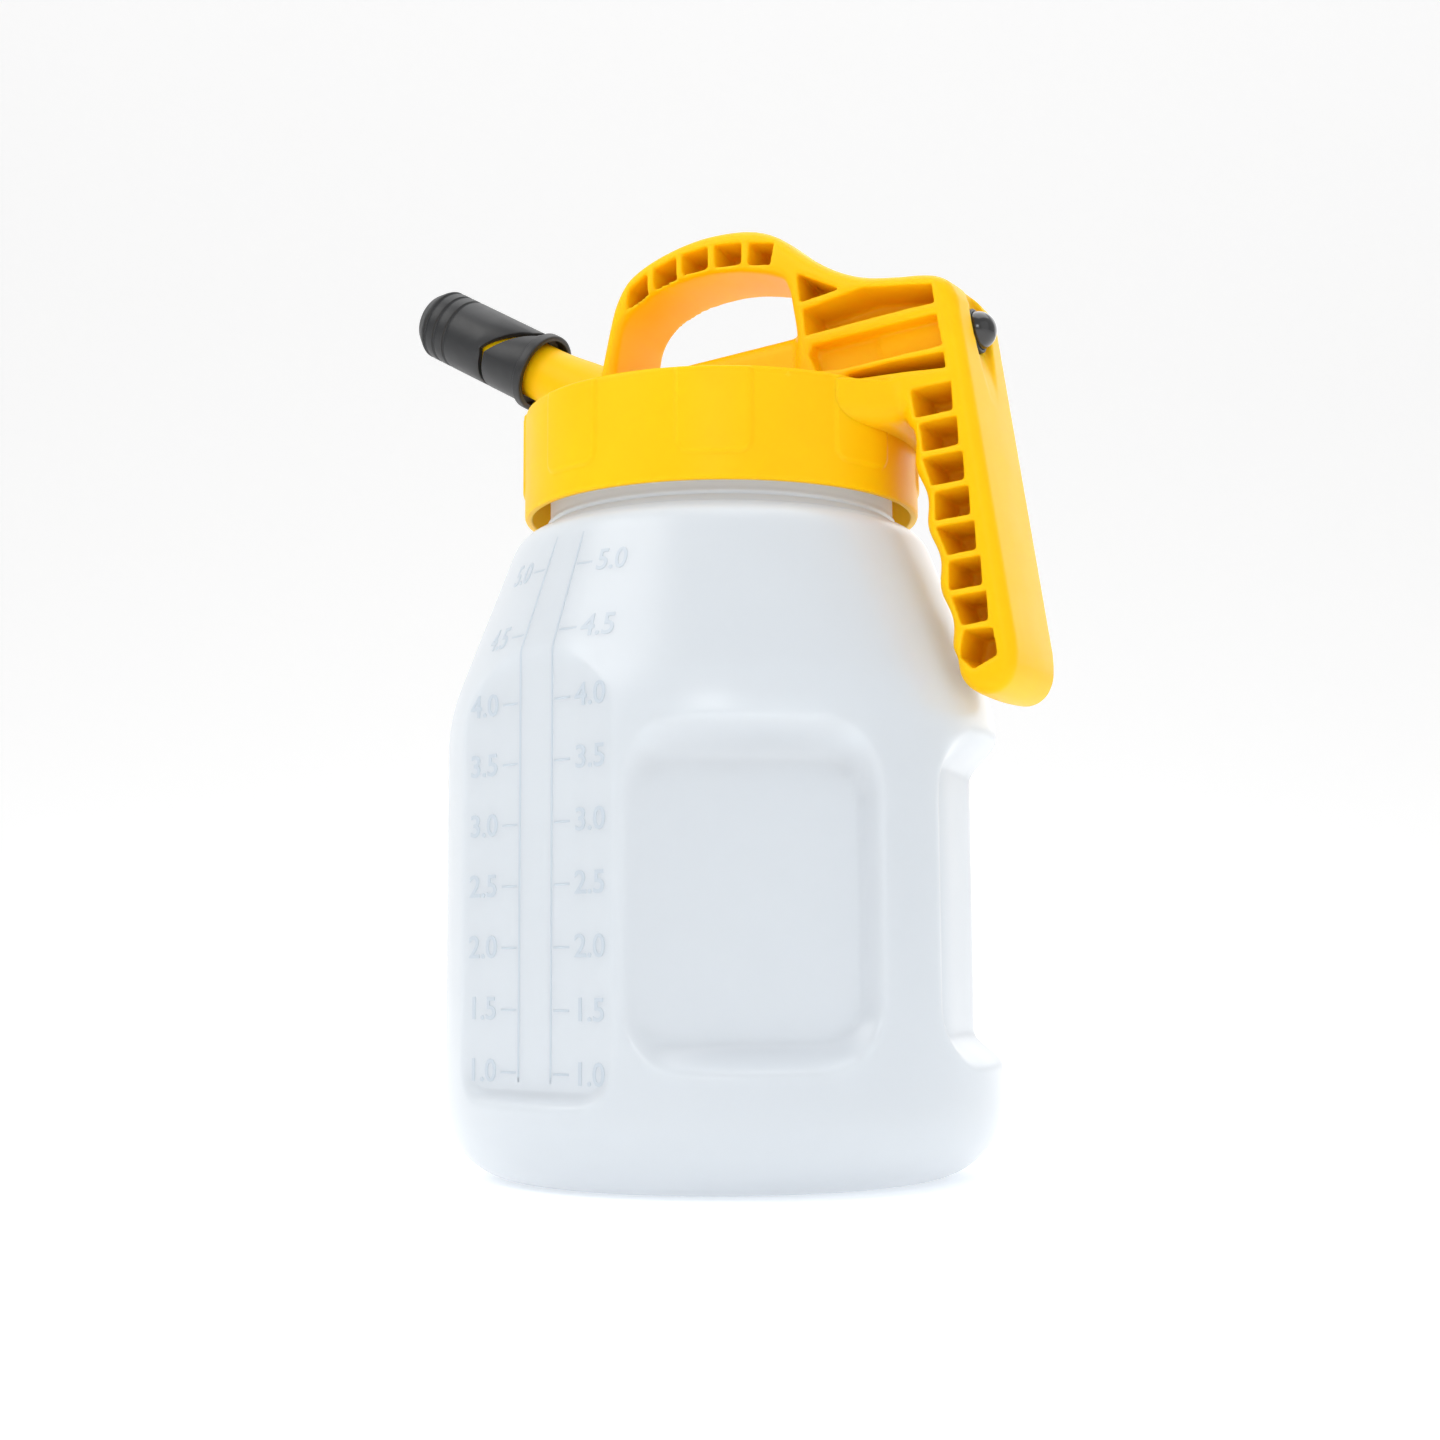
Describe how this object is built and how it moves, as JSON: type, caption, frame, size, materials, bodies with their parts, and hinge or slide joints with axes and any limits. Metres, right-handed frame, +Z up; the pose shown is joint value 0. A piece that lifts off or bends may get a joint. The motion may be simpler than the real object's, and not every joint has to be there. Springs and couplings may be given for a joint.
{
  "type": "oil dispensing container",
  "caption": "Translucent blow-moulded drum with a screw lid that carries an arched top handle, a ribbed rear grip, an air vent button and a twist-open spout nozzle.",
  "frame": {"origin": "middle of the drum's flat base, on the drum's axis", "axes": "+Z up along the drum, -X towards the spout, +X towards the rear grip, +Y across"},
  "size_m": [0.2456, 0.1904, 0.3312],
  "materials": {
    "drum_polymer": "translucent natural polyethylene, soft satin",
    "yellow_moulding": "bright yellow moulded polyethylene, satin gloss",
    "black_moulding": "satin charcoal black",
    "button_moulding": "glossy black",
    "seal_rubber": "matte nitrile rubber",
    "spring_steel": "bright stainless steel"
  },
  "bodies": {
    "drum_body": {"drum": "drum_polymer"},
    "gasket_body": {"lid_gasket": "seal_rubber"},
    "lid_body": {"lid_cap": "yellow_moulding", "spout_tube": "yellow_moulding", "spout_fairing": "yellow_moulding", "top_handle": "yellow_moulding", "rear_bracket": "yellow_moulding", "rear_grip": "yellow_moulding", "spout_collar": "black_moulding", "shutoff_plug": "black_moulding", "plug_o_ring": "seal_rubber", "vent_bush": "black_moulding", "vent_spring": "spring_steel"},
    "nozzle_ring_body": {"nozzle_o_ring": "seal_rubber"},
    "nozzle_body": {"twist_nozzle": "black_moulding"},
    "button_body": {"vent_button": "button_moulding", "vent_stem": "spring_steel", "vent_seal": "seal_rubber", "stem_clip": "spring_steel"}
  },
  "joints": [
    {"name": "lid_lift", "type": "slide", "parent": "drum_body", "child": "gasket_body", "axis": [0, 0, 1], "range_m": [0, 0.0115]},
    {"name": "lid_unscrew", "type": "hinge", "parent": "gasket_body", "child": "lid_body", "pos_m": [0, 0, 0.25], "axis": [0, 0, 1], "range_deg": [0, 450]},
    {"name": "nozzle_travel", "type": "slide", "parent": "lid_body", "child": "nozzle_ring_body", "axis": [-0.8695, 0, 0.4939], "range_m": [0, 0.0125]},
    {"name": "nozzle_twist", "type": "hinge", "parent": "nozzle_ring_body", "child": "nozzle_body", "pos_m": [-0.0737, 0, 0.2937], "axis": [0.8695, 0, -0.4939], "range_deg": [0, 60]},
    {"name": "vent_press", "type": "slide", "parent": "lid_body", "child": "button_body", "axis": [-0.9888, 0, -0.1495], "range_m": [0, 0.0034], "stiffness_N_per_m": 700, "springref_m": -0.001, "deforming": ["vent_spring"]}
  ],
  "couplings": [
    {"joint": "lid_lift", "follows": "lid_unscrew", "m_per_rad": 0.0014324},
    {"joint": "nozzle_travel", "follows": "nozzle_twist", "m_per_rad": 0.011868}
  ]
}
